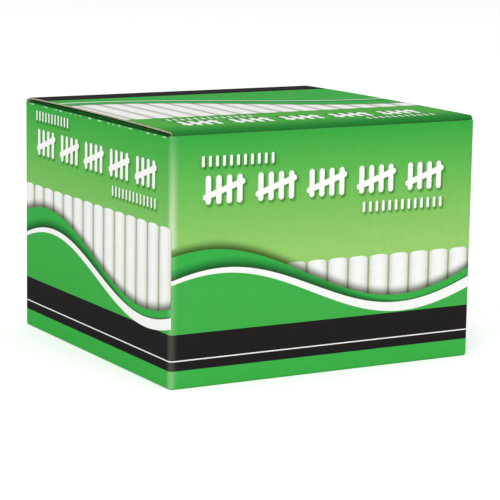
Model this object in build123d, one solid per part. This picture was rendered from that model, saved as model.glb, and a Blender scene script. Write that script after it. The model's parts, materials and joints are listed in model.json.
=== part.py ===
from build123d import *
import os
from math import asin, atan, cos, degrees, pi, radians, sin, tan

# A folding carton of one hundred chalk sticks. The carton is one creased and glued sheet of
# board with a tuck-in lid, and the sticks stand inside it in ten rows of ten.
# Millimetres. +X runs along the front panel, +Y from the front to the back, +Z up, and the
# origin is the middle of the base.

# The chalk sticks, moulded with a slight taper. There are a hundred of them, so each is drawn
# with flats too narrow to notice, which take far fewer facets than a round side
STICK_LENGTH = 80.0
STICK_FOOT_DIAMETER = 11.1
STICK_TIP_DIAMETER = 10.0
STICK_FLATS = 28
STICKS_IN_ROW = 10
ROWS = 10
GAP_IN_ROW = 0.3
GAP_BETWEEN_ROWS = 0.1

# The room round the block of sticks
STICK_TO_GLUE_FLAP = 1.15
STICK_TO_TUCK_FLAP = 0.45
STICK_TO_BACK = 0.5
STICK_TO_DUST_FLAP = 0.4
DUST_FLAP_DIP = 0.9

# The board and its creases
BOARD = 0.5
UPRIGHT_CREASE_RADIUS = 1.4
BASE_CREASE_RADIUS = 0.9
DUST_CREASE_RADIUS = 1.0

# The glued base: the outer flap is hinged on the front panel and stops short of the others
BASE_LAYERS = 3
BASE_FLAP_INSET = 1.3
BASE_FLAP_GROOVE = 0.9
BASE_SEAM_GAP = 1.0

# The side seam, down the back right corner
GLUE_FLAP_WIDTH = 15.0
GLUE_FLAP_END_GAP = 2.0
SEAM_LINE_WIDTH = 0.9

# The dust flaps under the lid
DUST_FLAP_LENGTH = 42.0
DUST_FLAP_FRONT_SETBACK = 2.6
DUST_FLAP_BACK_SETBACK = 3.2
DUST_FLAP_FRONT_TAPER = 6.0
DUST_FLAP_BACK_TAPER = 14.0
DUST_FLAP_CORNER_RADIUS = 9.0

# The lid: a rolled hinge crease, a slight crown, a front fold and a tuck flap
LID_SIDE_INSET = 0.5
LID_CROWN_ANGLE = 1.1
LID_TO_DUST_FLAP = 0.7
HINGE_CREASE_RADIUS = 1.0
HINGE_CREASE_TURN = 58.0
HINGE_RISE = 1.9
HINGE_GAP = 0.1
LID_FOLD_RADIUS = 1.6
TUCK_LENGTH = 15.0
TUCK_TO_FRONT = 0.15
TUCK_SHOULDER_GAP = 0.15
TUCK_SIDE_INSET = 1.7
TUCK_SIDE_TAPER = 4.0
TUCK_CORNER_RADIUS = 7.0

# Heights, from the floor of the carton to the top of the lid's edge
floor_height = BASE_LAYERS * BOARD
stick_top = floor_height + STICK_LENGTH
dust_crease_top = stick_top + STICK_TO_DUST_FLAP + BOARD + DUST_FLAP_DIP
lid_edge_top = dust_crease_top + LID_TO_DUST_FLAP + BOARD
hinge_height = lid_edge_top - HINGE_RISE
tuck_low_level = lid_edge_top - LID_FOLD_RADIUS - TUCK_LENGTH

# The block of sticks is the core that the carton is folded round
stick_pitch = STICK_FOOT_DIAMETER + GAP_IN_ROW
row_pitch = STICK_FOOT_DIAMETER + GAP_BETWEEN_ROWS
block_width = STICKS_IN_ROW * stick_pitch - GAP_IN_ROW
block_depth = ROWS * row_pitch - GAP_BETWEEN_ROWS

# The tuck flap slants inwards along a chord of the circle that its fold swings on, so that it
# passes the front panel, and the taper of the sticks leaves it room
tuck_slant = degrees(asin(TUCK_LENGTH / (2 * block_depth)))
tuck_reach = TUCK_TO_FRONT + BOARD + TUCK_LENGTH * sin(radians(tuck_slant))
stick_narrowing = (STICK_FOOT_DIAMETER - STICK_TIP_DIAMETER) / 2
narrowing_at_tuck = stick_narrowing * (tuck_low_level - floor_height) / STICK_LENGTH
front_room = tuck_reach - narrowing_at_tuck + STICK_TO_TUCK_FLAP

width = block_width + 2 * (STICK_TO_GLUE_FLAP + BOARD + BOARD)
depth = block_depth + front_room + STICK_TO_BACK + 2 * BOARD
side_face = width / 2
front_face = -depth / 2
back_face = depth / 2


def prism(section, plane, start, length):
    """A section drawn on Plane.YZ or Plane.XZ, made solid from start onwards along +X or +Y."""
    along = 1 if plane == Plane.YZ else -1
    return extrude(plane.offset(along * start) * section, amount=along * length)


def block(x_range, y_range, z_range):
    """A square-cornered block between two corners."""
    corner = (x_range[0], y_range[0], z_range[0])
    size = (x_range[1] - x_range[0], y_range[1] - y_range[0], z_range[1] - z_range[0])
    return Pos(*corner) * Box(*size, align=(Align.MIN, Align.MIN, Align.MIN))


def board_section(middle_line):
    """The section of a strip of board whose middle follows a line."""
    return trace(middle_line, line_width=BOARD)


def footprint(inset):
    """The carton's plan, set in from its outer faces, with rounded upright creases."""
    radius = UPRIGHT_CREASE_RADIUS - inset
    return RectangleRounded(width - 2 * inset, depth - 2 * inset, radius)


def walls():
    """The four upright panels, each trimmed to the height of its own top edge or crease."""
    tube = extrude(footprint(0) - footprint(BOARD), amount=dust_crease_top)
    beyond = 2 * BOARD
    crease_foot = dust_crease_top - DUST_CREASE_RADIUS
    side_run = depth / 2 - UPRIGHT_CREASE_RADIUS
    over_sides = [
        block((x, x + 2 * beyond), (-side_run, side_run), (crease_foot, dust_crease_top + beyond))
        for x in (-side_face - beyond, side_face - beyond)
    ]
    over_back = block(
        (-width, width),
        (back_face - UPRIGHT_CREASE_RADIUS, back_face + beyond),
        (hinge_height, dust_crease_top + beyond),
    )
    return tube - over_sides - over_back


def base():
    """The glued base flaps as one plate, with the outer flap's free edges and the inner seam."""
    plate = extrude(footprint(0), amount=floor_height)
    plate = fillet(plate.faces().sort_by(Axis.Z)[0].edges(), BASE_CREASE_RADIUS)
    groove_side = side_face - BASE_FLAP_INSET
    groove_back = back_face - BASE_FLAP_INSET
    groove = block((-groove_side, groove_side), (front_face + BASE_FLAP_INSET, groove_back), (0, BOARD))
    flap_side = groove_side - BASE_FLAP_GROOVE
    groove -= block((-flap_side, flap_side), (front_face, groove_back - BASE_FLAP_GROOVE), (0, BOARD))
    seam = block(
        (-BASE_SEAM_GAP / 2, BASE_SEAM_GAP / 2),
        (front_face + BOARD, back_face - BOARD),
        (floor_height - BOARD, floor_height),
    )
    return plate - groove - seam


def glue_flap():
    """The seam flap, folded from the back panel and glued inside the right panel."""
    inner_side = side_face - BOARD
    return block(
        (inner_side - BOARD, inner_side),
        (back_face - BOARD - GLUE_FLAP_WIDTH, back_face - BOARD),
        (floor_height, dust_crease_top - DUST_CREASE_RADIUS - GLUE_FLAP_END_GAP),
    )


def seam_line():
    """The right panel's cut edge, which leaves a shallow step beside the back right corner."""
    seam_back = back_face - UPRIGHT_CREASE_RADIUS
    return block(
        (side_face - BOARD / 2, side_face + BOARD),
        (seam_back - SEAM_LINE_WIDTH, seam_back),
        (floor_height, dust_crease_top),
    )


def dust_flap_outline():
    """The plan of the right dust flap, from its crease to its free end."""
    tip_x = side_face - DUST_FLAP_LENGTH
    front_y = front_face + DUST_FLAP_FRONT_SETBACK
    back_y = back_face - DUST_FLAP_BACK_SETBACK
    front_tip_y = front_y + DUST_FLAP_LENGTH * tan(radians(DUST_FLAP_FRONT_TAPER))
    back_tip_y = back_y - DUST_FLAP_LENGTH * tan(radians(DUST_FLAP_BACK_TAPER))
    corners = [(side_face, front_y), (tip_x, front_tip_y), (tip_x, back_tip_y), (side_face, back_y)]
    outline = make_face(Polyline(*corners, close=True))
    return fillet(outline.vertices().sort_by(Axis.X)[:2], DUST_FLAP_CORNER_RADIUS)


def dust_flap():
    """The right dust flap: a rounded crease on the side panel and a flap that dips inwards."""
    slope = degrees(atan(DUST_FLAP_DIP / DUST_FLAP_LENGTH))
    start = (side_face - BOARD / 2, dust_crease_top - DUST_CREASE_RADIUS)
    crease = JernArc(start, (0, 1), DUST_CREASE_RADIUS - BOARD / 2, 90 + slope)
    run = Line(crease @ 1, (crease @ 1) + (crease % 1) * DUST_FLAP_LENGTH)
    strip = prism(board_section(Curve() + [crease, run]), Plane.XZ, front_face, depth)
    return strip & extrude(dust_flap_outline(), amount=lid_edge_top)


def carton_body():
    """The sheet of board without its lid, as one folded and glued piece."""
    right_flap = dust_flap()
    left_flap = mirror(right_flap, Plane.YZ)
    return walls() + base() + glue_flap() - seam_line() + [left_flap, right_flap]


def lid_middle_line():
    """The lid's side view along the middle of the board, from the hinge to the tuck flap's edge."""
    level = lid_edge_top - BOARD / 2
    crown = radians(LID_CROWN_ANGLE)
    turn = radians(HINGE_CREASE_TURN)
    hinge_start = (back_face - BOARD / 2, hinge_height + HINGE_GAP)
    tight = JernArc(hinge_start, (0, 1), HINGE_CREASE_RADIUS - BOARD / 2, HINGE_CREASE_TURN)
    easy_radius = (level - (tight @ 1).Y) / (cos(crown) - sin(turn))
    easy = JernArc(tight @ 1, tight % 1, easy_radius, 90 - HINGE_CREASE_TURN - LID_CROWN_ANGLE)
    fold_radius = LID_FOLD_RADIUS - BOARD / 2
    fold_front = front_face + BOARD + TUCK_TO_FRONT + BOARD / 2
    fold_start = fold_front + fold_radius * (1 - sin(crown))
    crown_radius = ((easy @ 1).X - fold_start) / (2 * sin(crown))
    panel = JernArc(easy @ 1, easy % 1, crown_radius, 2 * LID_CROWN_ANGLE)
    fold = JernArc(panel @ 1, panel % 1, fold_radius, 90 - LID_CROWN_ANGLE + tuck_slant)
    tuck = Line(fold @ 1, (fold @ 1) + (fold % 1) * TUCK_LENGTH)
    return Curve() + [tight, easy, panel, fold, tuck]


def beside_tuck_flap(lowest):
    """What is cut away beside the tuck flap, so that it slips in between the side panels."""
    shoulder = dust_crease_top + TUCK_SHOULDER_GAP
    top_half = side_face - TUCK_SIDE_INSET
    low_half = top_half - (shoulder - lowest) * tan(radians(TUCK_SIDE_TAPER))
    corners = [(-low_half, lowest), (low_half, lowest), (top_half, shoulder), (-top_half, shoulder)]
    outline = make_face(Polyline(*corners, close=True))
    flap = fillet(outline.vertices().sort_by(Axis.Y)[:2], TUCK_CORNER_RADIUS)
    around = Pos(0, shoulder / 2) * Rectangle(2 * width, shoulder)
    return prism(around - flap, Plane.XZ, front_face, depth / 2)


def lid():
    """The lid panel with its rolled hinge, front fold and tuck flap."""
    middle = lid_middle_line()
    half = side_face - LID_SIDE_INSET
    strip = prism(board_section(middle), Plane.YZ, -half, 2 * half)
    return strip - beside_tuck_flap((middle @ 1).Y)


def stick():
    """One chalk stick standing on its foot and narrowing towards its tip."""
    flats_narrowing = stick_narrowing * cos(pi / STICK_FLATS)
    slope = degrees(atan(flats_narrowing / STICK_LENGTH))
    foot = RegularPolygon(STICK_FOOT_DIAMETER / 2, STICK_FLATS)
    return extrude(foot, amount=STICK_LENGTH, taper=slope)


def chalk_row(row):
    """The sticks that stand side by side in one row, with rows counted from the front."""
    first_x = (STICK_FOOT_DIAMETER - block_width) / 2
    first_y = front_face + BOARD + front_room + STICK_FOOT_DIAMETER / 2
    one = stick()
    places = [
        Pos(first_x + place * stick_pitch, first_y + row * row_pitch, floor_height)
        for place in range(STICKS_IN_ROW)
    ]
    return Compound([place * one for place in places])


def main():
    """Writes each piece of the carton and each row of sticks to its own file."""
    os.makedirs("parts", exist_ok=True)
    export_step(carton_body(), "parts/carton_body.step")
    export_step(lid(), "parts/lid.step")
    for row in range(ROWS):
        export_step(chalk_row(row), f"parts/chalk_row_{row + 1:02d}.step")
    print(f"carton {width:.2f} x {depth:.2f} mm, lid edge at {lid_edge_top:.2f} mm")
    print(f"hinge at y {back_face:.3f} mm, {hinge_height:.3f} mm up")


main()
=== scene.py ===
# %% [markdown]
# # A printed carton of chalk sticks
#
# The object is a folding carton. One sheet of white-lined boxboard is printed in greens and a
# near-black, varnished, creased, folded and glued, and it stands round a hundred sticks of white
# chalk. The frame gives the size and place of each piece, and this script gives each its look.
# The carton and its lid are drawn again as sheets with a printed side, a bare side and a cut
# edge, because a finish that sits on one side of a board needs a mesh that knows its sides.

# %% Load the fixed frame
import json
from math import atan, cos, pi, radians, sin, sqrt, tan

import bmesh
import bpy
from mathutils import Matrix, Vector


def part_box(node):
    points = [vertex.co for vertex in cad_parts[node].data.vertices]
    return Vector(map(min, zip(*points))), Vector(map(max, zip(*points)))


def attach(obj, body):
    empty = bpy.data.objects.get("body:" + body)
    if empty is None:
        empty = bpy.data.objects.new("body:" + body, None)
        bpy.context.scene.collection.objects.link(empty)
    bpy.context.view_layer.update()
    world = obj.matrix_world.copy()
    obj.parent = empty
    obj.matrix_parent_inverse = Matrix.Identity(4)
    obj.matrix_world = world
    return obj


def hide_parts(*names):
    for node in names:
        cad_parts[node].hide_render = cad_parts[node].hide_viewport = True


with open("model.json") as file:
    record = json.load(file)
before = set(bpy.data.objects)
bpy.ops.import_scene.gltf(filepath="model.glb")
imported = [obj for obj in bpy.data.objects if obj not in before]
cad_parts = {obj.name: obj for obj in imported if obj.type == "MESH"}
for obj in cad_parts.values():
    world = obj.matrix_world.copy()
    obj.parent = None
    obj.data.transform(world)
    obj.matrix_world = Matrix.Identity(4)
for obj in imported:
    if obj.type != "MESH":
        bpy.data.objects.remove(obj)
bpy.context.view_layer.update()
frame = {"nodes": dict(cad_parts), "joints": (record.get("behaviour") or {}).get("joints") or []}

# %% [markdown]
# ## Sizes
#
# Everything below is in millimetres, and a point is turned to metres when it goes into a mesh.
# The outer sizes are read from the frame. The board's own sizes, such as its thickness and the
# radius of each crease, are those of the real board.

# %% Sizes that the pieces share, in mm
MM = 0.001
BOARD = 0.5
UPRIGHT_CREASE = 1.4
BASE_CREASE = 0.9
DUST_CREASE = 1.0

body_low, body_high = (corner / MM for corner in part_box("carton_body"))
lid_low, lid_high = (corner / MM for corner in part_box("lid"))
hinge_z = frame["joints"][0]["pos_m"][2] / MM
print("carton in mm:", [round(size, 2) for size in body_high - body_low])

# %% [markdown]
# ## Colour and nodes
#
# Colours are written as sRGB hex values, as a printer's proof gives them, and the renderer wants
# linear light, so one function converts them. Nodes could be added and linked by hand, in three
# or four lines each. A second function adds one with its settings, its stops and its links in a
# single call, which keeps a long material readable. What is the same all over a surface, such as
# its roughness, is set on the shader itself when the material is made.


# %% Helpers for materials
def linear(hex_colour):
    """An sRGB hex colour as the linear RGBA that Blender works in."""
    parts = [int(hex_colour[place:place + 2], 16) / 255 for place in (1, 3, 5)]
    return [*(part / 12.92 if part <= 0.04045 else ((part + 0.055) / 1.055) ** 2.4 for part in parts), 1]


def add(tree, kind, feeds=None, stops=(), **settings):
    """Adds a node. feeds gives its inputs by name or number, each a value, a node or a socket."""
    node = tree.nodes.new("ShaderNode" + kind)
    for name, value in settings.items():
        setattr(node, name, value)
    for key, feed in (feeds or {}).items():
        if isinstance(feed, bpy.types.Node):
            feed = feed.outputs[0]
        if isinstance(feed, bpy.types.NodeSocket):
            tree.links.new(feed, node.inputs[key])
        else:
            node.inputs[key].default_value = feed
    if stops:
        ends = node.color_ramp.elements
        ends[0].position, ends[0].color = stops[0][0], linear(stops[0][1])
        ends[1].position, ends[1].color = stops[-1][0], linear(stops[-1][1])
        for position, colour in stops[1:-1]:
            ends.new(position).color = linear(colour)
    return node


def new_material(name, finish):
    """A material with one Principled shader, set to finish, and its node tree and shader."""
    material = bpy.data.materials.new(name)
    material.use_nodes = True
    tree = material.node_tree
    skin = tree.nodes["Principled BSDF"]
    for socket, value in finish.items():
        skin.inputs[socket].default_value = value
    return material, tree, skin


print("green plate, linear:", [round(part, 3) for part in linear("#42AE4B")])

# %% [markdown]
# ## The shape of a flap's side
#
# A die-cut flap narrows from its crease to its free end and has round corners there. The corners
# could be cut by a Boolean or a bevel, but both leave a ragged mesh. The flaps of the lid and of
# the sides differ only in their sizes, so one function serves both: it says how far the side has
# moved in at a given distance from the crease, and the grid of the flap keeps its even rows.


# %% How a flap narrows towards its free end
def narrowing(run, length, taper, corner_radius):
    """How far in a flap's side lies, run mm from its crease, on a flap length mm long."""
    slope = radians(taper)
    corner_start = length - corner_radius * (1 - sin(slope))
    if run <= corner_start:
        return run * tan(slope)
    centre = corner_start * tan(slope) + corner_radius * cos(slope)
    past = min(run - (length - corner_radius), corner_radius)
    return centre - sqrt(corner_radius ** 2 - past ** 2)


print("a 15 mm flap has moved in by", round(narrowing(15, 15, 4, 7), 2), "mm at its end")

# %% [markdown]
# ## From a grid of points to a board
#
# A panel could be a thin box, but then its crease would be a hard corner and its print would
# cover the cut edge too. Board is a sheet, so each panel and flap is a grid of points on the
# printed face, with the place of each point in the artwork kept beside it as a UV. Neighbouring
# grids share the points of the crease between them and are merged there. A Solidify modifier
# then gives the sheet its thickness inwards, with the bare board as the second material and the
# cut edge as the third. It is applied, so that the edges of the cut can be marked sharp.


# %% Lay grids of points and thicken them to a board
ARTWORK = "artwork"


def put_in_scene(name, data):
    """An object with the given mesh, light or camera, linked to the scene."""
    thing = bpy.data.objects.new(name, data)
    bpy.context.scene.collection.objects.link(thing)
    return thing


def lay(sheet, rows, prints, material_index=0):
    """Adds a grid of points to a bmesh, with the place of each in the artwork."""
    artwork = sheet.loops.layers.uv.get(ARTWORK) or sheet.loops.layers.uv.new(ARTWORK)
    grid = [[sheet.verts.new(Vector(point) * MM) for point in row] for row in rows]
    for low in range(len(rows) - 1):
        for left in range(len(rows[low]) - 1):
            corners = [(low, left), (low, left + 1), (low + 1, left + 1), (low + 1, left)]
            face = sheet.faces.new([grid[row][column] for row, column in corners])
            face.material_index = material_index
            face.smooth = True
            for loop, (row, column) in zip(face.loops, corners):
                loop[artwork].uv = prints[row][column]


def board_piece(name, sheet, finishes, body, node):
    """Merges and thickens a sheet. finishes pairs each printed finish with that of its cut edge."""
    bmesh.ops.remove_doubles(sheet, verts=sheet.verts, dist=0.01 * MM)
    mesh = bpy.data.meshes.new(name)
    sheet.to_mesh(mesh)
    sheet.free()
    piece = put_in_scene(name, mesh)
    printed, edges = zip(*finishes)
    for material in [*printed, *[bare_board] * len(printed), *edges]:
        mesh.materials.append(material)
    thicken = piece.modifiers.new("thickness", "SOLIDIFY")
    thicken.thickness = BOARD * MM
    thicken.offset = -1
    thicken.use_even_offset = True
    thicken.material_offset = len(printed)
    thicken.material_offset_rim = 2 * len(printed)
    solid = bpy.data.meshes.new_from_object(piece.evaluated_get(bpy.context.evaluated_depsgraph_get()))
    piece.modifiers.clear()
    piece.data = solid
    solid.name = name
    solid.set_sharp_from_angle(angle=radians(40))
    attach(piece, body)
    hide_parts(node)
    print(name, "has", len(solid.polygons), "faces")


# %% [markdown]
# ## Bare board and its cut edge
#
# The inside of such a carton is the uncoated back of the board. It is made of pulped paper, which
# gives the eye a pale, warm, quite matt face with faint flecks and clouds. A flat colour would
# look like plastic, so two noises tint it: clouds of pulp about 6 mm across, and fibres. A real
# fibre is a few hundredths of a millimetre thick, too fine to show, and is drawn 0.6 mm coarse.
# A die crushes the cut edge and lays bare the grey-brown middle of the board. It looks rough and
# dull. Where a printed panel ends, its edge is drawn darker and greener: the ink cut through at
# its printed side, and painted shade.


# %% The bare back of the board
FIBRE = 0.6
PULP_CLOUD = 6.0


def make_bare_board():
    """Uncoated boxboard: rough, matt and faintly flecked."""
    material, tree, skin = new_material("uncoated_boxboard", {"Roughness": 0.9, "IOR": 1.5})
    place = add(tree, "TexCoord").outputs["Object"]
    cloud = add(tree, "TexNoise", {"Vector": place, "Scale": 1 / (PULP_CLOUD * MM), "Detail": 3.0})
    fleck = add(tree, "TexNoise", {"Vector": place, "Scale": 1 / (FIBRE * MM), "Detail": 5.0})
    pulp = add(tree, "ValToRGB", {0: cloud}, stops=[(0.35, "#DEDAD0"), (0.65, "#E6E3DA")])
    dark = add(tree, "ValToRGB", {0: fleck}, stops=[(0.33, "#D8D3C6"), (0.40, "#FFFFFF")])
    colour = add(tree, "Mix", {0: 1.0, 6: pulp, 7: dark}, data_type="RGBA", blend_type="MULTIPLY")
    tree.links.new(colour.outputs[2], skin.inputs["Base Color"])
    tooth = add(tree, "Bump", {"Strength": 0.5, "Distance": 0.04 * MM, "Height": fleck})
    tree.links.new(tooth.outputs[0], skin.inputs["Normal"])
    return material


def make_cut_edge(name, dark, pale):
    """The die-cut edge of the board, rough and fibrous, between a dark and a pale colour."""
    material, tree, skin = new_material(name, {"Roughness": 0.95, "IOR": 1.5})
    place = add(tree, "TexCoord").outputs["Object"]
    fibre = add(tree, "TexNoise", {"Vector": place, "Scale": 1 / (FIBRE * MM), "Detail": 4.0})
    colour = add(tree, "ValToRGB", {0: fibre}, stops=[(0.35, dark), (0.65, pale)])
    tree.links.new(colour.outputs[0], skin.inputs["Base Color"])
    return material


bare_board = make_bare_board()
cut_edge = make_cut_edge("cut_board_edge", "#958B76", "#B9B09C")
# The panels' edges are greener for the ink cut through, and darker as painted shade.
inked_and_shaded_edge = make_cut_edge("cut_board_edge_with_ink_and_painted_shade", "#4F6A48", "#7E8F70")
print("bare side and edges:", bare_board.name, cut_edge.name, inked_and_shaded_edge.name)

# %% [markdown]
# ## Tally strokes in the print
#
# Each panel carries a line of plain tally strokes, as on a blackboard, with a short row of ticks
# above it and one below, in white with a soft shadow. They could be thin meshes laid on the
# board, but ink has no thickness, and a mesh so close to another flickers. So each stroke is a
# distance field: the distance to a short line, less the pen's radius, is negative inside the
# stroke. One shader group works it out for the whole block, so that the block can be read twice,
# once for the white and once, moved a little and softened, for the shadow.

# %% The sizes of the strokes and ticks, in mm
TALLY_HEIGHT = 9.5
TALLY_SPACING = 3.9
TALLY_STROKES = 4
TALLY_GROUP = 19.6
TALLY_GROUPS = 5
SLASH_RISE = 0.55
PEN_RADIUS = 1.0
TICK_HEIGHT = 3.6
TICK_PITCH = 2.6
TICK_RADIUS = 0.5
TICK_ROWS = ((-34.0, 9.4, 11), (30.5, -9.4, 13))
half_block = TALLY_GROUPS * TALLY_GROUP / 2
half_tally = TALLY_STROKES * TALLY_SPACING / 2
print("block of strokes:", round(2 * half_block, 1), "mm wide")


# %% The distance to one stroke, and to a strip of them
def stroke(tree, across, along, half_length, radius):
    """The distance to a round-ended stroke, from the distances across it and along it."""
    size = add(tree, "Math", {0: along}, operation="ABSOLUTE")
    past = add(tree, "Math", {0: size, 1: half_length - radius}, operation="SUBTRACT")
    beyond = add(tree, "Math", {0: past, 1: 0.0}, operation="MAXIMUM")
    offset = add(tree, "CombineXYZ", {0: across, 1: beyond})
    distance = add(tree, "VectorMath", {0: offset}, operation="LENGTH").outputs["Value"]
    return add(tree, "Math", {0: distance, 1: radius}, operation="SUBTRACT")


def only_within(tree, distance, across, half_width):
    """The same distance, but large outside a strip of the given half width."""
    size = add(tree, "Math", {0: across}, operation="ABSOLUTE")
    outside = add(tree, "Math", {0: size, 1: half_width}, operation="SUBTRACT")
    return add(tree, "Math", {0: distance, 1: outside}, operation="MAXIMUM")


def from_nearest(tree, place, pitch):
    """The distance to the nearest middle of a repeat, where the repeats start at place 0."""
    from_gap = add(tree, "Math", {0: place, 1: pitch / 2}, operation="PINGPONG")
    return add(tree, "Math", {0: pitch / 2, 1: from_gap}, operation="SUBTRACT")


print("an upright is", TALLY_HEIGHT, "mm tall and", 2 * PEN_RADIUS, "mm wide")


# %% Five tallies, each of four uprights and a slash
def tallies(tree, u, v):
    """The distance to the nearest stroke of the tallies."""
    first_stroke = half_block - (TALLY_GROUP / 2 - half_tally)
    start = add(tree, "Math", {0: u, 1: first_stroke}, operation="ADD")
    in_group = add(tree, "Math", {0: start, 1: TALLY_GROUP}, operation="FLOORED_MODULO")
    centred = add(tree, "Math", {0: in_group, 1: half_tally}, operation="SUBTRACT")
    across = from_nearest(tree, in_group, TALLY_SPACING)
    upright = stroke(tree, across, v, TALLY_HEIGHT / 2, PEN_RADIUS)
    uprights = only_within(tree, upright, centred, half_tally)

    lean = atan(SLASH_RISE * TALLY_HEIGHT / (2 * half_tally))
    point = add(tree, "CombineXYZ", {0: centred, 1: v})
    beside, ahead = [
        add(tree, "VectorMath", {0: point, 1: way}, operation="DOT_PRODUCT").outputs["Value"]
        for way in ((-sin(lean), cos(lean), 0), (cos(lean), sin(lean), 0))
    ]
    slash = stroke(tree, beside, ahead, half_tally / cos(lean), PEN_RADIUS)
    nearest = add(tree, "Math", {0: uprights, 1: slash}, operation="MINIMUM")
    return only_within(tree, nearest, u, half_block)


print("a slash rises by", round(SLASH_RISE * TALLY_HEIGHT, 1), "mm")


# %% The whole block as one shader group
def make_marks():
    """Tallies with a row of ticks above and one below, about the middle of the block."""
    tree = bpy.data.node_groups.new("white_marks", "ShaderNodeTree")
    tree.interface.new_socket("Place", in_out="INPUT", socket_type="NodeSocketVector")
    tree.interface.new_socket("Distance", in_out="OUTPUT", socket_type="NodeSocketFloat")
    split = add(tree, "SeparateXYZ", {0: tree.nodes.new("NodeGroupInput")})
    u, v = split.outputs[0], split.outputs[1]
    marks = tallies(tree, u, v)
    for centre_u, centre_v, count in TICK_ROWS:
        half_row = count * TICK_PITCH / 2
        run = add(tree, "Math", {0: u, 1: centre_u - half_row}, operation="SUBTRACT")
        height = add(tree, "Math", {0: v, 1: centre_v}, operation="SUBTRACT")
        tick = stroke(tree, from_nearest(tree, run, TICK_PITCH), height, TICK_HEIGHT / 2, TICK_RADIUS)
        sideways = add(tree, "Math", {0: u, 1: centre_u}, operation="SUBTRACT")
        tick = only_within(tree, tick, sideways, half_row)
        marks = add(tree, "Math", {0: marks, 1: tick}, operation="MINIMUM")
    tree.links.new(marks.outputs[0], tree.nodes.new("NodeGroupOutput").inputs[0])
    return tree


white_marks = make_marks()
print("the group of marks has", len(white_marks.nodes), "nodes")

# %% [markdown]
# ## The printed panels
#
# The panels are printed by offset: flat inks and smooth fades, one over another, on the white
# lining of the board. This could be an image, but an image has a fixed sharpness, and the design
# is made of plain fields. So each field is worked out from the place on the panel in millimetres.
# A mask says where the field is, and a Mix node lays its colour over what is below. A real ink's
# edge is soft by some hundredths of a millimetre, and is drawn 0.15 mm soft, so that it doesn't
# stair-step in the render. Every panel has the same layers at its own heights: a fade of greens,
# pictured sticks, a ribbon between two waves, a dark band, and white lines and strokes.

# %% What each panel's print holds, in mm from its lower left corner
# fade: foot and top. sticks: top and first gap. marks: middle across and up.
# wave and line: middle height, swing, first crest and length. line_widths: at the left and right.
# band: foot and top. highlight_crease: place across and reach of the painted crease highlight.
# fold: start and end of the painted fold shade, up from the hinge.
INK_EDGE = 0.15
LINING = "#F9F9F6"
BLACK_INK = "#231F20"
PLAIN_GREEN = "#42AE4B"
# The foot's green is a touch brighter than the plain green: painted light against the floor's shade
# there.
FOOT_GREEN_PAINTED_LIGHTER = "#40B34B"
BAND_LINE = ((9.0, LINING), (9.6, BLACK_INK))
FRONT = {
    "width": 118.0, "fade": (42.0, 84.0), "greens": ("#98CC6D", "#66B955", "#34A641"),
    "sticks": (39.1, 43.0), "marks": (58.5, 65.2),
    "wave": (35.1, 10.6, 14.0, 148.0), "line": (29.4, 9.05, 19.0, 140.0), "line_widths": (1.4, 3.8),
    "band": (5.9, 18.1), "band_line": BAND_LINE, "highlight_crease": (0.0, 3.1),
}
SIDE = {
    "width": 115.0, "fade": (38.0, 84.0), "greens": ("#98CE74", "#66B955", "#37A944"),
    "sticks": (53.5, 0.0), "marks": (57.5, 69.4),
    "wave": (35.0, 11.0, 19.0, 154.0), "line": (29.0, 9.4, 24.0, 146.0), "line_widths": (1.4, 3.8),
    "band": (5.9, 18.1), "band_line": BAND_LINE, "highlight_crease": (115.0, 3.0),
}
LID = {
    "width": 118.0, "fade": (80.0, 112.0), "greens": ("#5BAC4C", "#50AE46", "#32953E"),
    "sticks": (82.0, 0.0), "marks": (58.5, 97.0),
    "wave": (54.0, 18.0, 5.0, 210.0), "line": (44.0, 15.0, 5.0, 210.0), "line_widths": (1.1, 1.6),
    "band": (3.0, 19.0), "band_line": (), "fold": (104.0, 119.0),
}
print("a wave is", FRONT["wave"][3], "mm long on the front and", SIDE["wave"][3], "mm on the sides")


# %% The edge of an ink, and the height of a wave
def ink_mask(tree, distance):
    """1 where distance is negative and 0 where it is positive, with a soft inky edge."""
    return add(tree, "MapRange", {0: distance, 1: INK_EDGE / 2, 2: -INK_EDGE / 2})


def above_wave(tree, u, v, mean, swing, crest, length):
    """How far v lies above a cosine wave, given its middle height, swing, first crest and length."""
    turn = 2 * pi / length
    angle = add(tree, "Math", {0: u, 1: turn, 2: -crest * turn}, operation="MULTIPLY_ADD")
    ripple = add(tree, "Math", {0: angle}, operation="COSINE")
    height = add(tree, "Math", {0: ripple, 1: swing, 2: mean}, operation="MULTIPLY_ADD")
    return add(tree, "Math", {0: v, 1: height}, operation="SUBTRACT")


print("an ink's edge is", INK_EDGE, "mm soft")

# %% [markdown]
# ## Fade and pictured sticks
#
# Above the waves the green fades from full to light, and in front of it stands a row of sticks.
# They are a picture, flat on the board: real ones in relief would catch the light at the wrong
# places. One colour ramp across each stick, from the gap to the middle, gives the roundness that
# a retoucher would paint, and a steep power of the same distance gives the domed top.

# %% The fade of greens and the pictured sticks
STICK_PICTURE_PITCH = 8.2
STICK_PICTURE_DOME = 1.0
STICK_DOME_POWER = 3.5
STICK_SHADES = ((0, "#8FA36B"), (0.07, "#A9B68F"), (0.13, "#D8D9D5"), (0.45, "#F1F1EF"), (1, LINING))


def green_fade(tree, v, fade, greens):
    """The greens above the waves, from light at the bottom to full at the top."""
    share = add(tree, "MapRange", {0: v, 1: fade[0], 2: fade[1]})
    return add(tree, "ValToRGB", {0: share}, stops=list(zip((0.0, 0.6, 1.0), greens))).outputs[0]


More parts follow.
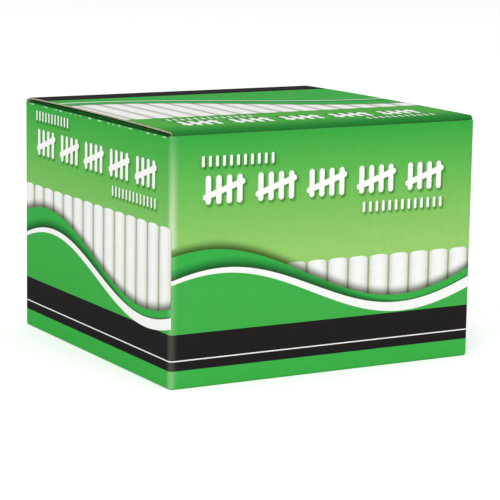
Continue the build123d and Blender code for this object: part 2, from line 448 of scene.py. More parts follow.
def pictured_sticks(tree, below, u, v, top, start):
    """A row of pictured chalk sticks with domed tops, shaded from the gaps to their middles."""
    half = STICK_PICTURE_PITCH / 2
    moved = add(tree, "Math", {0: u, 1: start}, operation="SUBTRACT")
    from_gap = add(tree, "Math", {0: moved, 1: half}, operation="PINGPONG")
    share = add(tree, "Math", {0: from_gap, 1: half}, operation="DIVIDE")
    round_shade = add(tree, "ValToRGB", {0: share}, stops=STICK_SHADES)

    away = add(tree, "Math", {0: 1.0, 1: share}, operation="SUBTRACT")
    fall = add(tree, "Math", {0: away, 1: STICK_DOME_POWER}, operation="POWER")
    crown = add(tree, "Math", {0: fall, 1: -STICK_PICTURE_DOME, 2: top}, operation="MULTIPLY_ADD")
    above = add(tree, "Math", {0: v, 1: crown}, operation="SUBTRACT")
    feeds = {0: ink_mask(tree, above), 6: below, 7: round_shade}
    return add(tree, "Mix", feeds, data_type="RGBA").outputs[2]


print("pictured sticks across the front:", int(FRONT["width"] / STICK_PICTURE_PITCH))

# %% [markdown]
# ## Ribbon, white line and dark band
#
# A green ribbon sweeps across each panel under a wave, with a white line along its lower edge that
# grows wider to the right. Below it lie a plain green foot and a dark band. A drawn curve would
# need a mesh or an image, while the height of a cosine wave is one Math node and stays sharp at
# any distance. Above the wave lies a soft shadow. Where the ribbon meets the line it is shaded,
# 4 mm deep on the left and 0.8 mm on the right, so that the eye sees folds in what is flat.

# %% The ribbon and its shadow
WAVE_SHADOW = 3.8
WAVE_SHADOW_STRENGTH = 0.88
WAVE_SHADOW_INK = "#4E5A34"
RIBBON_REACHES = (4.0, 0.8)
RIBBON_THINS = (0.5, 0.75)
RIBBON_SHADES = (
    (0, "#22502B"), (0.22, "#25682F"), (0.42, "#29843A"), (0.68, "#329B45"), (0.95, "#3BAE4A"),
)


def wave_shadow(tree, below, over_wave):
    """A soft printed shadow on what lies just above the wave."""
    feeds = {0: over_wave, 1: 0.0, 2: WAVE_SHADOW, 3: WAVE_SHADOW_STRENGTH, 4: 0.0}
    depth = add(tree, "MapRange", feeds, interpolation_type="SMOOTHSTEP")
    feeds = {0: depth, 6: below, 7: linear(WAVE_SHADOW_INK)}
    return add(tree, "Mix", feeds, data_type="RGBA", blend_type="MULTIPLY").outputs[2]


def ribbon(tree, below, u, over_wave, line_edge, width):
    """The green ribbon under the wave, dark where it meets the white line."""
    wide, slim = RIBBON_REACHES
    start, end = (width * share for share in RIBBON_THINS)
    reach = add(tree, "MapRange", {0: u, 1: start, 2: end, 3: wide, 4: slim})
    near = add(tree, "Math", {0: line_edge, 1: reach}, operation="DIVIDE")
    shade = add(tree, "ValToRGB", {0: near}, stops=RIBBON_SHADES)
    feeds = {0: ink_mask(tree, over_wave), 6: below, 7: shade}
    return add(tree, "Mix", feeds, data_type="RGBA").outputs[2]


print("the ribbon's shadow reaches", WAVE_SHADOW, "mm up")


# %% The foot of the panel, with the dark band
PANEL_REACH = 100.0


def foot(tree, below, v, over_line, band, band_line):
    """Green under the white line, painted lighter at the foot, and across it the dark band and its line.
    """
    plates = [(0.0, FOOT_GREEN_PAINTED_LIGHTER), (band[0], BLACK_INK), *band_line, (band[1], PLAIN_GREEN)]
    share = add(tree, "MapRange", {0: v, 1: 0.0, 2: PANEL_REACH})
    stops = [(height / PANEL_REACH, ink) for height, ink in plates]
    inks = add(tree, "ValToRGB", {0: share}, stops=stops)
    inks.color_ramp.interpolation = "CONSTANT"
    feeds = {0: ink_mask(tree, over_line), 6: below, 7: inks}
    return add(tree, "Mix", feeds, data_type="RGBA").outputs[2]


print("the dark band is", round(FRONT["band"][1] - FRONT["band"][0], 1), "mm tall")


# %% Painted shade along the lid's front fold
FOLD_PAINTED_SHADES = (
    (0, "#FFFFFF"), (0.6, "#E2ECE4"), (0.74, "#C4CFC8"),
    (0.82, "#95AAA0"), (0.87, "#95AAA0"), (1, "#FFFFFF"),
)


def painted_fold_shade(tree, below, v, start, end):
    """Painted shade: darkens the print towards the fold, which turns from the light, not on the flap past
    it.
    """
    share = add(tree, "MapRange", {0: v, 1: start, 2: end})
    shade_ramp = add(tree, "ValToRGB", {0: share}, stops=FOLD_PAINTED_SHADES)
    feeds = {0: 1.0, 6: below, 7: shade_ramp}
    return add(tree, "Mix", feeds, data_type="RGBA", blend_type="MULTIPLY").outputs[2]


print("the fold shade ends", LID["fold"][1], "mm from the hinge")


# %% The white strokes over their shadow
MARK_SHADOW = (0.55, -0.6)
MARK_SHADOW_EDGE = (-0.3, 0.9)
MARK_SHADOW_STRENGTH = 0.62
MARK_SHADOW_INK = "#3B7D33"


def shadowed_marks(tree, below, place, centre):
    """The block of marks in white, over a soft shadow moved down and to the right."""
    middle = Vector((*centre, 0))
    feeds = {0: place, 1: middle + Vector((*MARK_SHADOW, 0))}
    moved = add(tree, "VectorMath", feeds, operation="SUBTRACT")
    shadow = add(tree, "Group", {0: moved}, node_tree=white_marks)
    inner, outer = MARK_SHADOW_EDGE
    feeds = {0: shadow, 1: inner, 2: outer, 3: MARK_SHADOW_STRENGTH, 4: 0.0}
    soft = add(tree, "MapRange", feeds, interpolation_type="SMOOTHSTEP")
    feeds = {0: soft, 6: below, 7: linear(MARK_SHADOW_INK)}
    shaded = add(tree, "Mix", feeds, data_type="RGBA", blend_type="MULTIPLY").outputs[2]

    centred = add(tree, "VectorMath", {0: place, 1: middle}, operation="SUBTRACT")
    marks = add(tree, "Group", {0: centred}, node_tree=white_marks)
    feeds = {0: ink_mask(tree, marks), 6: shaded, 7: linear(LINING)}
    return add(tree, "Mix", feeds, data_type="RGBA").outputs[2]


print("the strokes' shadow falls", -MARK_SHADOW[1], "mm down")

# %% [markdown]
# ## Varnish, tooth and painted crease highlights
#
# Over the ink lies a thin water-based varnish, which gives the eye a satin, slightly uneven
# sheen: bright colour face on, and a pale veil only at a grazing angle. It could be one gloss
# value, but a plain gloss greys the dark band, so the ink is matt and the varnish is a thin coat
# over it. The board's tooth shows through. It is a few tenths of a millimetre across, and drawn
# at 0.8 mm so that it shows. A glued carton is sent out flat, folded in half at two opposite
# creases, and there the ink is stretched paler. A painted highlight pales it further along these
# creases, for the light on their rounded bend, most of all where the ink is light.

# %% The finish over the ink
BOARD_TOOTH = 0.8
INK_MOTTLE = 3.0
SATIN_VARNISH = {
    "Roughness": 0.6, "IOR": 1.5, "Specular IOR Level": 0.0,
    "Coat Weight": 0.04, "Coat Roughness": 0.25, "Coat IOR": 1.5,
}
# Pale ink for the painted highlights along the creases, where the ink is also stretched and cracked.
STRETCHED_INK_AND_HIGHLIGHT = "#E8EDD6"
# The green in an ink, and the share of it that the painted crease highlight pales.
DARK_INK_PALING = (0.37, 0.07)
LIGHT_INK_PALING = (0.62, 0.74)


def painted_crease_highlight(tree, field, u, crease, reach):
    """A painted highlight on stretched ink: pales it within reach of an upright crease, dark ink less."""
    ink = add(tree, "SeparateColor", {0: field})
    (dark, low), (light, high) = DARK_INK_PALING, LIGHT_INK_PALING
    feeds = {0: ink.outputs["Green"], 1: dark, 2: light, 3: low, 4: high}
    strength = add(tree, "MapRange", feeds, interpolation_type="SMOOTHSTEP")
    past = add(tree, "Math", {0: u, 1: crease}, operation="SUBTRACT")
    away = add(tree, "Math", {0: past}, operation="ABSOLUTE")
    feeds = {0: away, 1: 0.0, 2: reach, 3: strength, 4: 0.0}
    highlight_share = add(tree, "MapRange", feeds, interpolation_type="SMOOTHSTEP")
    feeds = {0: highlight_share, 6: field, 7: linear(STRETCHED_INK_AND_HIGHLIGHT)}
    return add(tree, "Mix", feeds, data_type="RGBA", blend_type="LIGHTEN").outputs[2]


def finish_print(tree, skin, field):
    """Mottles the ink faintly and shows the board's tooth through it."""
    place = add(tree, "TexCoord").outputs["Object"]
    tooth = add(tree, "TexNoise", {"Vector": place, "Scale": 1 / (BOARD_TOOTH * MM), "Detail": 3.0})
    mottle = add(tree, "TexNoise", {"Vector": place, "Scale": 1 / (INK_MOTTLE * MM), "Detail": 4.0})
    tone = add(tree, "ValToRGB", {0: mottle}, stops=[(0.3, "#FAFAFA"), (0.7, "#FFFFFF")])
    colour = add(tree, "Mix", {0: 1.0, 6: field, 7: tone}, data_type="RGBA", blend_type="MULTIPLY")
    tree.links.new(colour.outputs[2], skin.inputs["Base Color"])
    bump = add(tree, "Bump", {"Strength": 0.25, "Distance": 0.02 * MM, "Height": tooth})
    tree.links.new(bump.outputs[0], skin.inputs["Normal"])


print("board tooth every", BOARD_TOOTH, "mm, ink mottle every", INK_MOTTLE, "mm")


# %% Lay the inks in the order of the plates
def printed_panel(name, plan):
    """Offset print on white-lined board under a satin varnish."""
    material, tree, skin = new_material(name, SATIN_VARNISH)
    place = add(tree, "UVMap", uv_map=ARTWORK)
    split = add(tree, "SeparateXYZ", {0: place})
    u, v = split.outputs[0], split.outputs[1]

    over_wave = above_wave(tree, u, v, *plan["wave"])
    over_line = above_wave(tree, u, v, *plan["line"])
    off_line = add(tree, "Math", {0: over_line}, operation="ABSOLUTE")
    start, end = (width / 2 for width in plan["line_widths"])
    half_line = add(tree, "MapRange", {0: u, 1: 0.0, 2: plan["width"], 3: start, 4: end})
    line_edge = add(tree, "Math", {0: off_line, 1: half_line}, operation="SUBTRACT")

    field = green_fade(tree, v, plan["fade"], plan["greens"])
    field = pictured_sticks(tree, field, u, v, *plan["sticks"])
    field = wave_shadow(tree, field, over_wave)
    field = ribbon(tree, field, u, over_wave, line_edge, plan["width"])
    field = foot(tree, field, v, over_line, plan["band"], plan["band_line"])
    feeds = {0: ink_mask(tree, line_edge), 6: field, 7: linear(LINING)}
    field = add(tree, "Mix", feeds, data_type="RGBA").outputs[2]
    # A painted shade along the lid's front fold.
    if "fold" in plan:
        field = painted_fold_shade(tree, field, v, *plan["fold"])
    field = shadowed_marks(tree, field, place, plan["marks"])
    # A painted highlight along the upright crease.
    if "highlight_crease" in plan:
        field = painted_crease_highlight(tree, field, u, *plan["highlight_crease"])
    finish_print(tree, skin, field)
    return material


front_print = printed_panel("front_offset_print_satin_varnish", FRONT)
side_print = printed_panel("side_offset_print_satin_varnish", SIDE)
lid_print = printed_panel("lid_offset_print_satin_varnish", LID)
print("print nodes on the front:", len(front_print.node_tree.nodes))

# %% [markdown]
# ## The dust flaps' print
#
# A printer lets the ink run a few millimetres past a crease, so that no white line shows if the
# fold is slightly off, and leaves the rest of a hidden flap white. This could be a second mesh
# piece, but the ink's end needs no edge of its own, so a mask at 5 mm does it. The crease is the
# most worked line of the carton. In it a dark band is painted shade, for the gap under the lid's
# edge, and pale broken runs along its outer side are a painted highlight, drawn as cracked ink.

# %% The print on the hidden flaps
BLEED = 5.0
CRACK_HIGHLIGHT_DEPTH = 0.08
CRACK_HIGHLIGHT_RUN = 4.0
CRACK_HIGHLIGHT_NOISE = (0.5, 0.6)
CRACK_HIGHLIGHT_PALENESS = 0.7
# The dark stops in the crease are painted shade, for the gap under the lid's edge; the rest is the green
# bleed.
BLEED_INKS_AND_CREASE_SHADE = (
    (0, "#3EAB4A"), (0.03, "#2C7F3A"), (0.06, "#164A22"), (0.2, "#164A22"), (0.36, "#3EAB4A"),
)
HIDDEN_LINING = "#DFE0DA"


def cracks_and_highlight(tree, u, inset):
    """The painted highlight on the crease, as cracked ink: runs 4 mm long, in a strip 0.08 mm deep."""
    feeds = {"W": u, "Scale": 1 / CRACK_HIGHLIGHT_RUN, "Detail": 4.0}
    broken_runs = add(tree, "TexNoise", feeds, noise_dimensions="1D")
    whole, cracked = CRACK_HIGHLIGHT_NOISE
    paled = add(tree, "MapRange", {0: broken_runs, 1: whole, 2: cracked, 3: 0.0, 4: CRACK_HIGHLIGHT_PALENESS})
    in_crease = add(tree, "Math", {0: inset, 1: CRACK_HIGHLIGHT_DEPTH}, operation="LESS_THAN")
    return add(tree, "Math", {0: paled, 1: in_crease}, operation="MULTIPLY")


def make_flap_print(crease_place):
    """Green ink up to the end of the bleed, with painted shade and highlight in the crease, white beyond.
    """
    material, tree, skin = new_material("white_lined_board_with_bleed", SATIN_VARNISH)
    place = add(tree, "UVMap", uv_map=ARTWORK)
    split = add(tree, "SeparateXYZ", {0: place})
    inset = add(tree, "Math", {0: split.outputs[1], 1: crease_place}, operation="SUBTRACT")
    share = add(tree, "MapRange", {0: inset, 1: 0.0, 2: BLEED})
    ink = add(tree, "ValToRGB", {0: share}, stops=BLEED_INKS_AND_CREASE_SHADE)
    feeds = {0: cracks_and_highlight(tree, split.outputs[0], inset), 6: ink, 7: linear(STRETCHED_INK_AND_HIGHLIGHT)}
    field = add(tree, "Mix", feeds, data_type="RGBA").outputs[2]
    past = add(tree, "Math", {0: inset, 1: BLEED}, operation="SUBTRACT")
    feeds = {0: ink_mask(tree, past), 6: linear(HIDDEN_LINING), 7: field}
    field = add(tree, "Mix", feeds, data_type="RGBA").outputs[2]
    finish_print(tree, skin, field)
    return material


flap_print = make_flap_print(body_high.z)
print("flap print:", flap_print.name)

# %% [markdown]
# ## The four panels and the dust flaps
#
# The panels are one tube of board with rounded upright creases. A cube with bevelled edges would
# be quicker, but its top would be closed and it would have no dust flaps. So each panel is a grid
# whose columns run round half of the crease at either end, and neighbours meet in the middle of
# the crease. Its rows start under the base crease and end at the top edge. The side panels go on
# over the dust crease into the dust flaps, which lie on the sticks.

# %% Sizes of the panels' edges and flaps, in mm and degrees
BASE_RING = 1.3
CREASE_STEPS = 4
CORNER_STEPS = 10
PANEL_ROWS = (20.0, 40.0, 60.0, 80.0)
SIDE_STEP = 0.25
FLAP_LENGTH = 42.0
FLAP_FRONT_SETBACK = 2.6
FLAP_BACK_SETBACK = 3.2
FLAP_TAPERS = (6.0, 14.0)
FLAP_CORNER = 9.0
FLAP_DIP = 0.9
FLAP_COLUMNS = 24
FLAP_ROWS = (10.0, 20.0)
HINGE_GAP = 0.1

half_width = body_high.x
half_depth = (body_high.y - body_low.y) / 2
side_top = body_high.z - DUST_CREASE
back_top = hinge_z - HINGE_GAP / 2
QUARTER = radians(90)
print("side panels end", round(side_top, 2), "mm up, and the back panel", round(back_top, 2))


# %% One wall panel as a grid
def stations(half, places):
    """The columns of a panel: half a crease, the given places, and half a crease."""
    bends = [step / CREASE_STEPS * QUARTER / 2 for step in range(CREASE_STEPS, 0, -1)]
    straight = half - UPRIGHT_CREASE
    left = [(-straight, -bend) for bend in bends]
    right = [(straight, bend) for bend in reversed(bends)]
    return [*left, *((place, 0.0) for place in [-straight, *places, straight]), *right]


def wall_panel(sheet, facing, half, distance, columns, tops, material_index):
    """Lays one panel, whose outer face looks along facing, up to the height in tops."""
    across = Vector((-facing.y, facing.x, 0))
    base_bends = [(step / CREASE_STEPS) * QUARTER for step in range(CREASE_STEPS + 1)]
    rows = [(BASE_RING, 0.0, -BASE_RING)]
    rows += [
        (BASE_CREASE * (1 - sin(bend)), BASE_CREASE * (1 - cos(bend)), BASE_CREASE * (bend - QUARTER + 1))
        for bend in base_bends
    ]
    rows += [(0.0, height, height) for height in PANEL_ROWS]
    grid, prints = [], []
    for inset, z, v in [*rows, (0.0, None, None)]:
        radius = UPRIGHT_CREASE - inset
        row, marks = [], []
        for (place, bend), top in zip(columns, tops):
            point = across * (place + radius * sin(bend))
            point += facing * (distance - inset - radius * (1 - cos(bend)))
            row.append((point.x, point.y, top if z is None else z))
            marks.append((half + place + UPRIGHT_CREASE * bend, top if v is None else v))
        grid.append(row)
        prints.append(marks)
    lay(sheet, grid, prints, material_index)


print("columns of a panel with no flap:", len(stations(half_width, [])))


# %% One dust flap as a grid
def dust_flap(sheet, facing, distance, columns, material_index):
    """Lays a flap that folds in from a side panel's top edge at the given columns."""
    across = Vector((-facing.y, facing.x, 0))
    slope = atan(FLAP_DIP / FLAP_LENGTH)
    rows = []
    for step in range(CREASE_STEPS + 1):
        bend = (QUARTER + slope) * step / CREASE_STEPS
        rows.append((DUST_CREASE * (1 - cos(bend)), side_top + DUST_CREASE * sin(bend)))
    crease_end, crease_z = rows[-1]
    turns = [QUARTER * step / CORNER_STEPS for step in range(CORNER_STEPS + 1)]
    insets = [*FLAP_ROWS, *(FLAP_LENGTH - FLAP_CORNER * (1 - sin(turn)) for turn in turns)]
    rows += [(inset, crease_z - (inset - crease_end) * tan(slope)) for inset in insets]

    tapers = FLAP_TAPERS if facing.x > 0 else FLAP_TAPERS[::-1]
    first, last = columns[0], columns[-1]
    grid, prints = [], []
    for inset, z in rows:
        left = first + narrowing(inset, FLAP_LENGTH, tapers[0], FLAP_CORNER)
        right = last - narrowing(inset, FLAP_LENGTH, tapers[1], FLAP_CORNER)
        row, marks = [], []
        for place in columns:
            along = left + (place - first) / (last - first) * (right - left)
            point = across * along + facing * (distance - inset)
            row.append((point.x, point.y, z))
            marks.append((half_depth + along, body_high.z + inset))
        grid.append(row)
        prints.append(marks)
    lay(sheet, grid, prints, material_index)


print("a dust flap dips by", FLAP_DIP, "mm over", FLAP_LENGTH, "mm")


# %% Fold the panels and the dust flaps as one sheet
def make_carton_panels():
    """The printed tube of the carton with the dust flaps folded over the sticks."""
    sheet = bmesh.new()
    long_columns = stations(half_width, [half_width * quarter / 4 for quarter in range(-3, 4)])
    ends = half_depth - UPRIGHT_CREASE - SIDE_STEP
    first, last = FLAP_FRONT_SETBACK - half_depth, half_depth - FLAP_BACK_SETBACK
    flap_places = [first + (last - first) * step / FLAP_COLUMNS for step in range(FLAP_COLUMNS + 1)]
    for side, top in ((-1, body_high.z), (1, back_top)):
        tops = [top] * len(long_columns)
        wall_panel(sheet, Vector((0, side, 0)), half_width, half_depth, long_columns, tops, 0)
    for side in (1, -1):
        facing = Vector((side, 0, 0))
        places = sorted(side * place for place in flap_places)
        columns = stations(half_depth, [-ends, *places, ends])
        crease_tops = [body_high.z if place * side < 0 else back_top for place, bend in columns]
        tops = [
            side_top if abs(place) <= ends else top
            for (place, bend), top in zip(columns, crease_tops)
        ]
        wall_panel(sheet, facing, half_depth, half_width, columns, tops, 1)
        dust_flap(sheet, facing, half_width, places, 2)
    finishes = [(front_print, inked_and_shaded_edge), (side_print, inked_and_shaded_edge), (flap_print, cut_edge)]
    board_piece("carton_panels", sheet, finishes, "carton", "carton_body")


make_carton_panels()

# %% [markdown]
# ## The base and the glue flap
#
# The base is closed by four flaps. The outer one is hinged on the front panel and covers nearly
# all of the base; the others are glued above it. The glue flap of the side seam runs down inside
# the right panel at the back. They could be left out, as only the underside of one is ever seen,
# but then the sticks would stand on nothing. They are plain rectangles of the same board.

# %% Sizes of the base, in mm
BASE_LAYERS = 3
FLAP_GROOVE = 0.9
SEAM_GAP = 1.0
GLUE_FLAP = 15.0
GLUE_FLAP_END_GAP = 2.0
FOOT_PRINT = 3.0
print("the base is", BASE_LAYERS * BOARD, "mm thick")


# %% Lay the hidden flaps
def plain_flap(name, corner, right, up, printed):
    """A rectangle of board from its lower left corner, along two edges, printed side out."""
    sheet = bmesh.new()
    steps = (0, 0.25, 0.5, 0.75, 1)
    grid = [[corner + right * across + up * along for across in steps] for along in steps]
    prints = [[(30 + 60 * across, FOOT_PRINT) for across in steps] for along in steps]
    lay(sheet, grid, prints)
    board_piece(name, sheet, [(printed, cut_edge)], "carton", "carton_body")


inner_x, inner_y = half_width - BOARD, half_depth - BOARD
outer_x = half_width - BASE_RING - FLAP_GROOVE
outer_back = half_depth - BASE_RING - FLAP_GROOVE
seam = SEAM_GAP / 2
for name, layer, left, right, front, back, printed in (
    ("outer_base_flap", 0, -outer_x, outer_x, BASE_RING - half_depth, outer_back, front_print),
    ("back_base_flap", 1, -inner_x, inner_x, -inner_y, inner_y, bare_board),
    ("right_base_flap", 2, seam, inner_x, -inner_y, inner_y, bare_board),
    ("left_base_flap", 2, -inner_x, -seam, -inner_y, inner_y, bare_board),
):
    corner = Vector((right, front, layer * BOARD))
    plain_flap(name, corner, Vector((left - right, 0, 0)), Vector((0, back - front, 0)), printed)
glue_height = side_top - GLUE_FLAP_END_GAP - BASE_LAYERS * BOARD
plain_flap(
    "glue_flap", Vector((inner_x, inner_y - GLUE_FLAP, BASE_LAYERS * BOARD)),
    Vector((0, GLUE_FLAP, 0)), Vector((0, 0, glue_height)), bare_board,
)

# %% [markdown]
# ## The lid
#
# The lid is one strip of board: a tight bend at the hinge, an easy bend, a slightly crowned
# panel, the front fold and the tuck flap. It could be bent by modifiers, but their bends don't
# meet smoothly. So its side view is walked from the hinge forwards: each step is an arc of a
# given radius and turn, and the board's heading carries over from one to the next. The front
# right corner lifts by a fraction of a millimetre, as board does once it has been folded, and
# the eye reads that small uneven gap as real card.

# %% Sizes of the lid, in mm and degrees
HINGE_CREASE = 1.0
HINGE_TURN = 58.0
LID_RISE = 1.9
LID_CROWN = 1.1
LID_FOLD = 1.6
TUCK_LENGTH = 15.0
TUCK_SHOULDER = 0.15
TUCK_ROWS = (0.3, 2.0, 5.0)
TUCK_INSET = 1.7
TUCK_TAPER = 4.0
TUCK_CORNER = 7.0
CORNER_LIFT = 0.42
LID_COLUMNS = 40
HINGE_STEPS = 6
CROWN_STEPS = 32
FOLD_STEPS = 10

chalk_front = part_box("chalk_row_01")[0].y / MM
chalk_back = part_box("chalk_row_10")[1].y / MM
tuck_slant = TUCK_LENGTH / (2 * (chalk_back - chalk_front))
print("the tuck flap leans", round(TUCK_LENGTH * sin(tuck_slant), 2), "mm in")


# %% Walk along the lid's side view
def walk_arc(rows, radius, turn, steps):
    """Goes on from the last row round an arc, adding (y, z, heading, length) rows."""
    y, z, heading, length = rows[-1]
    for step in range(1, steps + 1):
        now = heading + turn * step / steps
        rows.append((
            y + radius * (cos(now) - cos(heading)),
            z + radius * (sin(now) - sin(heading)),
            now,
            length + radius * (now - heading),
        ))


def lid_rows():
    """The printed face of the lid from the hinge to the free edge of the tuck flap."""
    crown, turn = radians(LID_CROWN), radians(HINGE_TURN)
    rows = [(lid_high.y, hinge_z + HINGE_GAP / 2, 0.0, 0.0)]
    walk_arc(rows, HINGE_CREASE, turn, HINGE_STEPS)
    edge_top = back_top + LID_RISE
    easy = (edge_top - rows[-1][1]) / (cos(crown) - sin(turn))
    walk_arc(rows, easy, QUARTER - turn - crown, HINGE_STEPS)
    fold_start = lid_low.y + LID_FOLD * (1 - sin(crown))
    walk_arc(rows, (rows[-1][0] - fold_start) / (2 * sin(crown)), 2 * crown, CROWN_STEPS)
    walk_arc(rows, LID_FOLD, QUARTER - crown + tuck_slant, FOLD_STEPS)
    y, z, heading, length = rows[-1]
    turns = [QUARTER * step / CORNER_STEPS for step in range(CORNER_STEPS + 1)]
    for run in [*TUCK_ROWS, *(TUCK_LENGTH - TUCK_CORNER * (1 - sin(turn)) for turn in turns)]:
        rows.append((y - run * sin(heading), z + run * cos(heading), heading, length + run))
    return rows


print("the lid's strip is", round(lid_rows()[-1][3], 1), "mm long")


# %% Cut and crease the lid
def make_lid():
    """The lid panel with its hinge bend, front fold and tuck flap."""
    rows = lid_rows()
    shoulder = body_high.z + TUCK_SHOULDER
    lowest = rows[-1][1]
    tuck_half = body_high.x - TUCK_INSET
    middle_y = (lid_low.y + lid_high.y) / 2
    grid, prints = [], []
    for y, z, heading, length in rows:
        rise = CORNER_LIFT * max(0.0, (middle_y - y) / (middle_y - lid_low.y)) ** 2
        left = right = lid_high.x
        if z < shoulder and y < middle_y:
            left = tuck_half - narrowing(shoulder - z, shoulder - lowest, TUCK_TAPER, TUCK_CORNER)
            right = lid_high.x if z + rise > shoulder else left
        row, marks = [], []
        for step in range(LID_COLUMNS + 1):
            share = 1 - step / LID_COLUMNS
            x = share * (right + left) - left
            row.append((x, y, z + rise * share ** 2))
            marks.append((half_width - x, length))
        grid.append(row)
        prints.append(marks)
    sheet = bmesh.new()
    lay(sheet, grid, prints)
    board_piece("lid_board", sheet, [(lid_print, cut_edge)], "lid", "lid")


make_lid()

# %% [markdown]
# ## The chalk
#
# School chalk is moulded from wet plaster: a slim cone with crisp ends. It looks very white and
# quite dead, for its pores and loose powder scatter the light and leave no gloss. The real grain
# is finer than 0.1 mm, and is drawn at 0.5 mm, with pores at 1.1 mm, so that a close view shows
# it. A stick could be a plain cone, but its sharp rim would look cut from paper. So each one is
# a lathed profile with softly broken edges. The sticks stand where the frame has them, and each
# row of ten is one piece.

# %% Moulded chalk
CHALK_GRAIN = 0.5
CHALK_PORE = 1.1
POWDER_PATCH = 9.0


def make_chalk():
    """Moulded white chalk: pale, porous and powdery."""
    finish = {"Roughness": 0.95, "IOR": 1.5, "Specular IOR Level": 0.2}
    material, tree, skin = new_material("moulded_white_chalk", finish)
    place = add(tree, "TexCoord").outputs["Object"]
    grain = add(tree, "TexNoise", {"Vector": place, "Scale": 1 / (CHALK_GRAIN * MM), "Detail": 4.0})
    pores = add(tree, "TexVoronoi", {"Vector": place, "Scale": 1 / (CHALK_PORE * MM)})
    powder = add(tree, "TexNoise", {"Vector": place, "Scale": 1 / (POWDER_PATCH * MM), "Detail": 3.0})
    tone = add(tree, "ValToRGB", {0: powder}, stops=[(0.35, "#E6E5E0"), (0.65, "#F3F3F0")])
    # The pores are painted darker, as painted shade in them; the same ramp dents them in the bump.
    pit = add(tree, "ValToRGB", {0: pores}, stops=[(0.06, "#CFCDC6"), (0.16, "#FFFFFF")])
    colour = add(tree, "Mix", {0: 0.6, 6: tone, 7: pit}, data_type="RGBA", blend_type="MULTIPLY")
    tree.links.new(colour.outputs[2], skin.inputs["Base Color"])
    rough = add(tree, "Bump", {"Strength": 0.6, "Distance": 0.05 * MM, "Height": grain})
    pitted = add(tree, "Bump", {"Strength": 0.5, "Distance": 0.08 * MM, "Height": pit, "Normal": rough})
    tree.links.new(pitted.outputs[0], skin.inputs["Normal"])
    return material


chalk = make_chalk()
print("chalk:", chalk.name)

# %% Lathe the sticks
TIP_DIAMETER = 10.0
BROKEN_EDGE = 0.45
EDGE_STEPS = 3
LATHE_STEPS = 36
STICKS_IN_ROW = 10


def stick_profile(foot_radius, low, high):
    """The (radius, height) rings of one stick, from the middle of its foot to that of its tip."""
    tip_radius = TIP_DIAMETER / 2
    bends = [QUARTER * step / EDGE_STEPS for step in range(EDGE_STEPS + 1)]
    away = [(BROKEN_EDGE * (1 - sin(bend)), BROKEN_EDGE * (1 - cos(bend))) for bend in bends]
    foot_edge = [(foot_radius - inwards, low + upwards) for inwards, upwards in away]
    side = [
        (foot_radius + (tip_radius - foot_radius) * share, low + (high - low) * share)
        for share in (0.25, 0.5, 0.75)
    ]
    tip_edge = [(tip_radius - inwards, high - downwards) for downwards, inwards in away]
    return [(0.0, low), *foot_edge, *side, *tip_edge, (0.0, high)]


def chalk_row(node):
    """Ten lathed sticks that stand for one row of the frame."""
    low, high = (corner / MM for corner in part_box(node))
    diameter = high.y - low.y
    pitch = (high.x - low.x - diameter) / (STICKS_IN_ROW - 1)
    mesh = bpy.data.meshes.new(node + "_sticks")
    sticks = bmesh.new()
    for place in range(STICKS_IN_ROW):
        centre = Vector((low.x + diameter / 2 + place * pitch, (low.y + high.y) / 2, 0))
        profile = stick_profile(diameter / 2, low.z, high.z)
        points = [sticks.verts.new((centre + Vector((radius, 0, z))) * MM) for radius, z in profile]
        edges = [sticks.edges.new(pair) for pair in zip(points, points[1:])]
        bmesh.ops.spin(
            sticks, geom=[*points, *edges], cent=centre * MM, axis=(0, 0, 1), angle=2 * pi,
            steps=LATHE_STEPS, use_merge=True,
        )
    bmesh.ops.remove_doubles(sticks, verts=sticks.verts, dist=0.001 * MM)
    bmesh.ops.recalc_face_normals(sticks, faces=sticks.faces)
    for face in sticks.faces:
        face.smooth = True
    sticks.to_mesh(mesh)
    sticks.free()
    mesh.materials.append(chalk)
    mesh.set_sharp_from_angle(angle=radians(50))
    piece = put_in_scene(node + "_sticks", mesh)
    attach(piece, "carton")
    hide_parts(node)
    return piece


chalk_nodes = sorted(name for name in frame["nodes"] if name.startswith("chalk_row_"))
chalk_rows = [chalk_row(node) for node in chalk_nodes]
print(len(chalk_rows), "rows of chalk,", len(chalk_rows[0].data.polygons), "faces each")

# %% [markdown]
# ## Floor, light and camera
#
# The carton stands on a sheet of matt white paper under soft studio light. More lamps could make
# the paper white, but they would bleach the carton too. So the floor glows a little where the
# camera or a reflection sees it: it reads as white, and still keeps the soft shadow at the foot
# of the carton. Large lamps far away give even panels and gentle gradients.

# %% The floor and the surroundings
FLOOR_SIZE = 6.0
FLOOR_GLOW = 0.35
WORLD_LIGHT = 0.6


def seen_directly(tree):
    """1 for rays from the camera and for those that metal, gloss or glass sends on."""
    path = add(tree, "LightPath")
    feeds = {0: path.outputs["Is Camera Ray"], 1: path.outputs["Is Glossy Ray"]}
    gloss = add(tree, "Math", feeds, operation="ADD")
    feeds = {0: gloss, 1: path.outputs["Is Transmission Ray"]}
    return add(tree, "Math", feeds, operation="ADD", use_clamp=True)


def make_floor():
    """A matt white floor that keeps a soft shadow."""
    finish = {"Base Color": linear("#F4F4F4"), "Emission Color": linear("#FFFFFF")}
    finish |= {"Roughness": 1.0, "Specular IOR Level": 0.0}
    material, tree, skin = new_material("matt_white_floor", finish)
    feeds = {0: seen_directly(tree), 1: FLOOR_GLOW}
    glow = add(tree, "Math", feeds, operation="MULTIPLY")
    tree.links.new(glow.outputs[0], skin.inputs["Emission Strength"])
    half = FLOOR_SIZE / 2
    mesh = bpy.data.meshes.new("floor")
    corners = [(-half, -half, 0), (half, -half, 0), (half, half, 0), (-half, half, 0)]
    mesh.from_pydata(corners, [], [(0, 1, 2, 3)])
    mesh.materials.append(material)
    put_in_scene("floor", mesh)


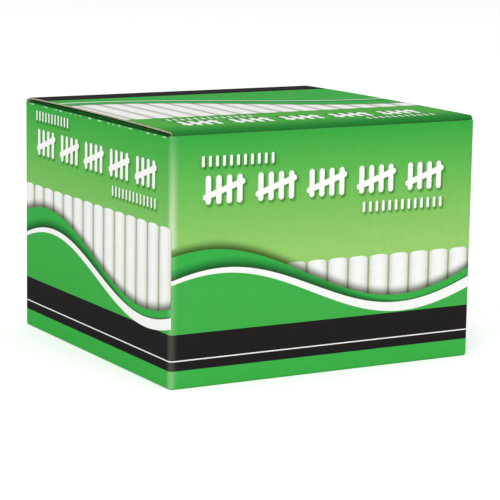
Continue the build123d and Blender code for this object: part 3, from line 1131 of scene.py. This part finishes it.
def make_world():
    """White where the camera looks, and an even pale light elsewhere."""
    world = bpy.data.worlds.new("studio")
    world.use_nodes = True
    tree = world.node_tree
    background = tree.nodes["Background"]
    background.inputs["Color"].default_value = linear("#FFFFFF")
    feeds = {0: seen_directly(tree), 3: WORLD_LIGHT, 4: 1.0}
    strength = add(tree, "MapRange", feeds)
    tree.links.new(strength.outputs[0], background.inputs["Strength"])
    bpy.context.scene.world = world


make_floor()
make_world()
bpy.context.scene.view_settings.view_transform = "Standard"
print("floor:", FLOOR_SIZE, "m square; world light:", WORLD_LIGHT)

# %% Soft lamps
LAMPS = {
    "key": ((-1.65, -1.25, 1.2), 1.2, 22.0),
    "fill": ((1.0, -1.6, 0.8), 1.2, 8.0),
    "top": ((0.1, 0.3, 2.0), 1.6, 4.2),
}


def make_lamp(name, place, size, power):
    """A square soft box aimed at the middle of the carton."""
    light = bpy.data.lights.new(name, "AREA")
    light.size = size
    light.energy = power
    aim = Vector((0, 0, body_high.z / 2 * MM)) - Vector(place)
    turned = aim.to_track_quat("-Z", "Y").to_matrix().to_4x4()
    put_in_scene(name, light).matrix_world = Matrix.Translation(place) @ turned


for name, (place, size, power) in LAMPS.items():
    make_lamp(name, place, size, power)
print("lamps:", sorted(LAMPS))

# %% The camera
CAMERA_PLACE = (-378.2, -664.5, 170.16)
CAMERA_AZIMUTH = 29.863
CAMERA_ELEVATION = 10.186
CAMERA_ROLL = 0.892
CAMERA_LENS = 155.9


def make_camera():
    """The camera, at the viewing angle of a catalogue photograph taken from some way off."""
    azimuth, elevation, roll = map(radians, (CAMERA_AZIMUTH, CAMERA_ELEVATION, CAMERA_ROLL))
    ahead = Vector((sin(azimuth) * cos(elevation), cos(azimuth) * cos(elevation), -sin(elevation)))
    level_right = Vector((cos(azimuth), -sin(azimuth), 0))
    level_up = level_right.cross(ahead)
    right = level_right * cos(roll) + level_up * sin(roll)
    up = right.cross(ahead)
    data = bpy.data.cameras.new("camera")
    data.lens = CAMERA_LENS
    camera = put_in_scene("camera", data)
    turned = Matrix((right, up, -ahead)).transposed().to_4x4()
    camera.matrix_world = Matrix.Translation(Vector(CAMERA_PLACE) * MM) @ turned
    bpy.context.scene.camera = camera


make_camera()
print("lens", CAMERA_LENS, "mm")
